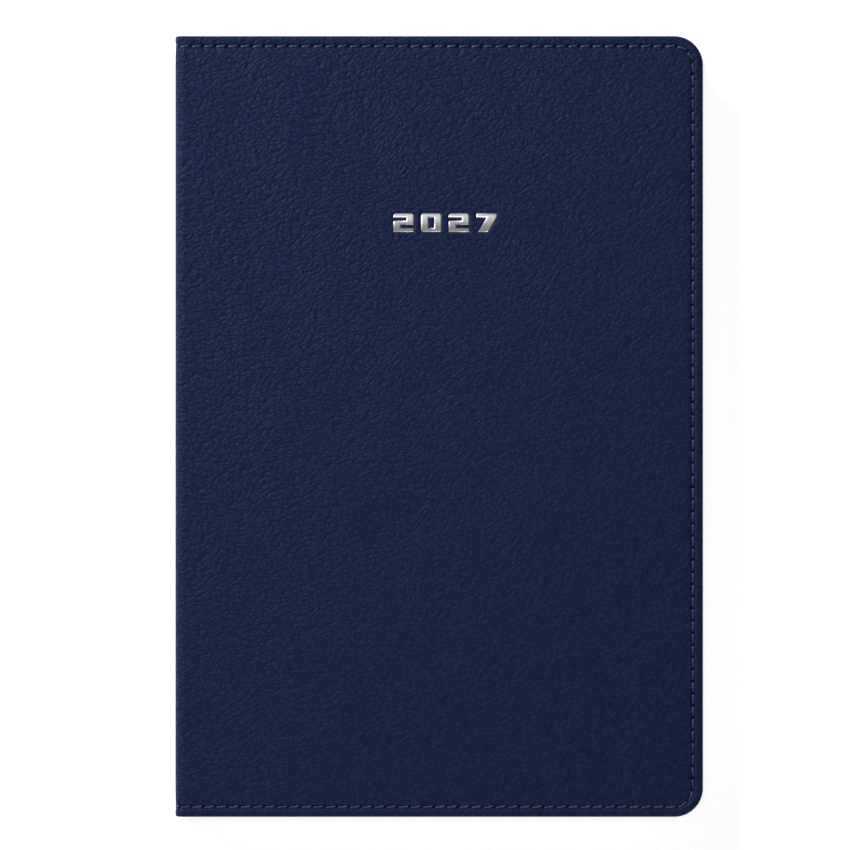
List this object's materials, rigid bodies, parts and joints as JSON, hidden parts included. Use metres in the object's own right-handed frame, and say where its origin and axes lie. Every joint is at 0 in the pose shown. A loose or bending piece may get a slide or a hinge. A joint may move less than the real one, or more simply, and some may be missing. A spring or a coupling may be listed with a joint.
{
  "type": "pilot logbook",
  "caption": "Case-bound pilot logbook with a padded, stitched leatherette cover, rounded fore-edge corners, a square spine and sewn sections, year-stamped on the front.",
  "frame": {"origin": "centre of the rectangle the closed book rests on, on its back cover's outer face", "axes": "+X from the spine to the fore-edge, +Y from tail to head, +Z from the back cover up through the front cover"},
  "size_m": [0.146, 0.216, 0.0202],
  "materials": {
    "front_cover_skin": "grained leatherette, semi-matt",
    "back_cover_skin": "grained leatherette, semi-matt",
    "spine_skin": "grained leatherette, semi-matt",
    "front_padding": "thin foam sheet",
    "back_padding": "thin foam sheet",
    "front_board": "grey board",
    "back_board": "grey board",
    "front_infill": "thin card",
    "back_infill": "thin card",
    "front_pastedown": "uncoated endpaper",
    "back_pastedown": "uncoated endpaper",
    "front_seam_thread": "twisted polyester thread",
    "back_seam_thread": "twisted polyester thread",
    "spine_head_thread": "twisted polyester thread",
    "spine_tail_thread": "twisted polyester thread",
    "front_bobbin_thread": "twisted polyester thread",
    "back_bobbin_thread": "twisted polyester thread",
    "year_numerals": "silver stamping foil",
    "spine_card": "flexible card",
    "spine_cloth": "open-weave cloth",
    "section_sewing": "white sewing thread",
    "head_band": "striped woven band",
    "tail_band": "striped woven band",
    "front_flyleaf": "uncoated endpaper",
    "back_flyleaf": "uncoated endpaper",
    "section_01": "smooth uncoated writing paper",
    "section_02": "smooth uncoated writing paper",
    "section_03": "smooth uncoated writing paper",
    "section_04": "smooth uncoated writing paper",
    "section_05": "smooth uncoated writing paper",
    "section_06": "smooth uncoated writing paper",
    "section_07": "smooth uncoated writing paper",
    "section_08": "smooth uncoated writing paper",
    "section_09": "smooth uncoated writing paper",
    "section_10": "smooth uncoated writing paper"
  },
  "bodies": {
    "back_cover": {"back_cover_skin": "back_cover_skin", "back_padding": "back_padding", "back_board": "back_board", "back_infill": "back_infill", "back_pastedown": "back_pastedown", "back_seam_thread": "back_seam_thread", "back_bobbin_thread": "back_bobbin_thread", "back_flyleaf": "back_flyleaf", "section_10": "section_10", "section_09": "section_09", "section_08": "section_08", "section_07": "section_07"},
    "spine": {"spine_skin": "spine_skin", "spine_card": "spine_card", "spine_cloth": "spine_cloth", "spine_head_thread": "spine_head_thread", "spine_tail_thread": "spine_tail_thread", "section_sewing": "section_sewing", "head_band": "head_band", "tail_band": "tail_band"},
    "front_cover": {"front_cover_skin": "front_cover_skin", "front_padding": "front_padding", "front_board": "front_board", "front_infill": "front_infill", "front_pastedown": "front_pastedown", "front_seam_thread": "front_seam_thread", "front_bobbin_thread": "front_bobbin_thread", "year_numerals": "year_numerals"},
    "front_leaves": {"front_flyleaf": "front_flyleaf", "section_01": "section_01", "section_02": "section_02", "section_03": "section_03", "section_04": "section_04"},
    "front_spread": {"section_05": "section_05"},
    "back_spread": {"section_06": "section_06"}
  },
  "joints": [
    {"name": "spine_hinge", "type": "hinge", "parent": "back_cover", "child": "spine", "pos_m": [-0.07227, 0, 0.00073], "axis": [0, -1, 0], "range_deg": [0, 90]},
    {"name": "front_cover_hinge", "type": "hinge", "parent": "spine", "child": "front_cover", "pos_m": [-0.07227, 0, 0.01947], "axis": [0, -1, 0], "range_deg": [0, 90]},
    {"name": "front_leaves_turn", "type": "hinge", "parent": "spine", "child": "front_leaves", "pos_m": [-0.07227, 0, 0.01947], "axis": [0, -1, 0], "range_deg": [0, 89.1]},
    {"name": "front_spread_turn", "type": "hinge", "parent": "spine", "child": "front_spread", "pos_m": [-0.07227, 0, 0.01947], "axis": [0, -1, 0], "range_deg": [0, 88.2]},
    {"name": "back_spread_turn", "type": "hinge", "parent": "spine", "child": "back_spread", "pos_m": [-0.07227, 0, 0.00073], "axis": [0, -1, 0], "range_deg": [-88.2, 0]}
  ],
  "couplings": [
    {"joint": "front_leaves_turn", "follows": "front_cover_hinge", "ratio": 0.99},
    {"joint": "front_spread_turn", "follows": "front_cover_hinge", "ratio": 0.98},
    {"joint": "back_spread_turn", "follows": "spine_hinge", "ratio": -0.98}
  ]
}
